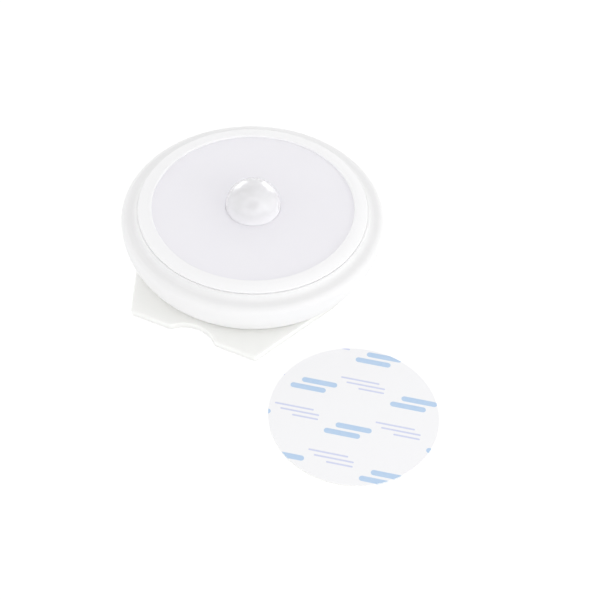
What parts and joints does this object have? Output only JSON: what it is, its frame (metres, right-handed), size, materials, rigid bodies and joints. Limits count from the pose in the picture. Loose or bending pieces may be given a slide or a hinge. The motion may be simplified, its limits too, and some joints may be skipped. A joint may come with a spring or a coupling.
{
  "type": "motion sensor cabinet light",
  "caption": "Round battery cabinet light with a motion sensor dome, a twist-off mounting base with a gripping tab, and a loose adhesive disc.",
  "frame": {"origin": "on the light's axis, in the plane of the mounting base's back face", "axes": "+Z out of the lit face, -Y towards the base's gripping tab, +X to the right of the tab seen from the front"},
  "size_m": [0.1259, 0.1176, 0.0287],
  "materials": {
    "base_plastic": "satin natural-white moulded plastic, slightly translucent",
    "housing_plastic": "white moulded plastic with a soft gloss",
    "bezel_plastic": "white moulded plastic with a soft gloss",
    "diffuser_plastic": "frosted milky panel",
    "lens_plastic": "clear to milky moulded lens",
    "sensor_can": "drawn metal can",
    "dark_window": "dark filter window",
    "plated_metal": "nickel-plated sheet and wire",
    "board": "board with a white solder mask",
    "led_body": "white package with a yellow phosphor",
    "chip_black": "black moulded component body",
    "cell_sleeve": "plain shrink sleeve",
    "switch_plastic": "white moulded knob",
    "lead_sleeve": "soft insulated wire",
    "adhesive": "tissue tape, tacky",
    "liner_paper": "smooth release paper"
  },
  "bodies": {
    "base": {"mounting_base": "base_plastic"},
    "light": {"rear_housing": "housing_plastic", "bezel_ring": "bezel_plastic", "diffuser": "diffuser_plastic", "reflector_ring": "housing_plastic", "lens_dome": "lens_plastic", "lens_seat": "housing_plastic", "motion_sensor": "sensor_can", "sensor_window": "dark_window", "sensor_pins": "plated_metal", "daylight_sensor": "dark_window", "led_board": "board", "leds": "led_body", "board_screws": "plated_metal", "control_chip": "chip_black", "capacitor": "chip_black", "chip_resistors": "chip_black", "driver_transistor": "chip_black", "cell_left": "cell_sleeve", "cell_middle": "cell_sleeve", "cell_right": "cell_sleeve", "positive_contact": "plated_metal", "negative_contact": "plated_metal", "front_link_contact": "plated_metal", "rear_link_contact": "plated_metal", "switch_body": "chip_black", "switch_terminals": "plated_metal", "switch_leads": "lead_sleeve"},
    "switch": {"switch_knob": "switch_plastic"},
    "pad": {"adhesive_disc": "adhesive", "liner_back": "liner_paper"},
    "liner": {"liner_front": "liner_paper"}
  },
  "joints": [
    {"name": "light_turn", "type": "hinge", "parent": "base", "child": "light", "pos_m": [0, 0, 0.0023], "axis": [0, 0, 1], "range_deg": [0, 20]},
    {"name": "switch_slide", "type": "slide", "parent": "light", "child": "switch", "axis": [1, 0, 0], "range_m": [-0.002, 0.002]},
    {"name": "pad_lift", "type": "slide", "parent": "base", "child": "pad", "axis": [0, 0, 1], "range_m": [0, 0.05]},
    {"name": "liner_lift", "type": "slide", "parent": "pad", "child": "liner", "axis": [0, 0, 1], "range_m": [0, 0.02]}
  ]
}
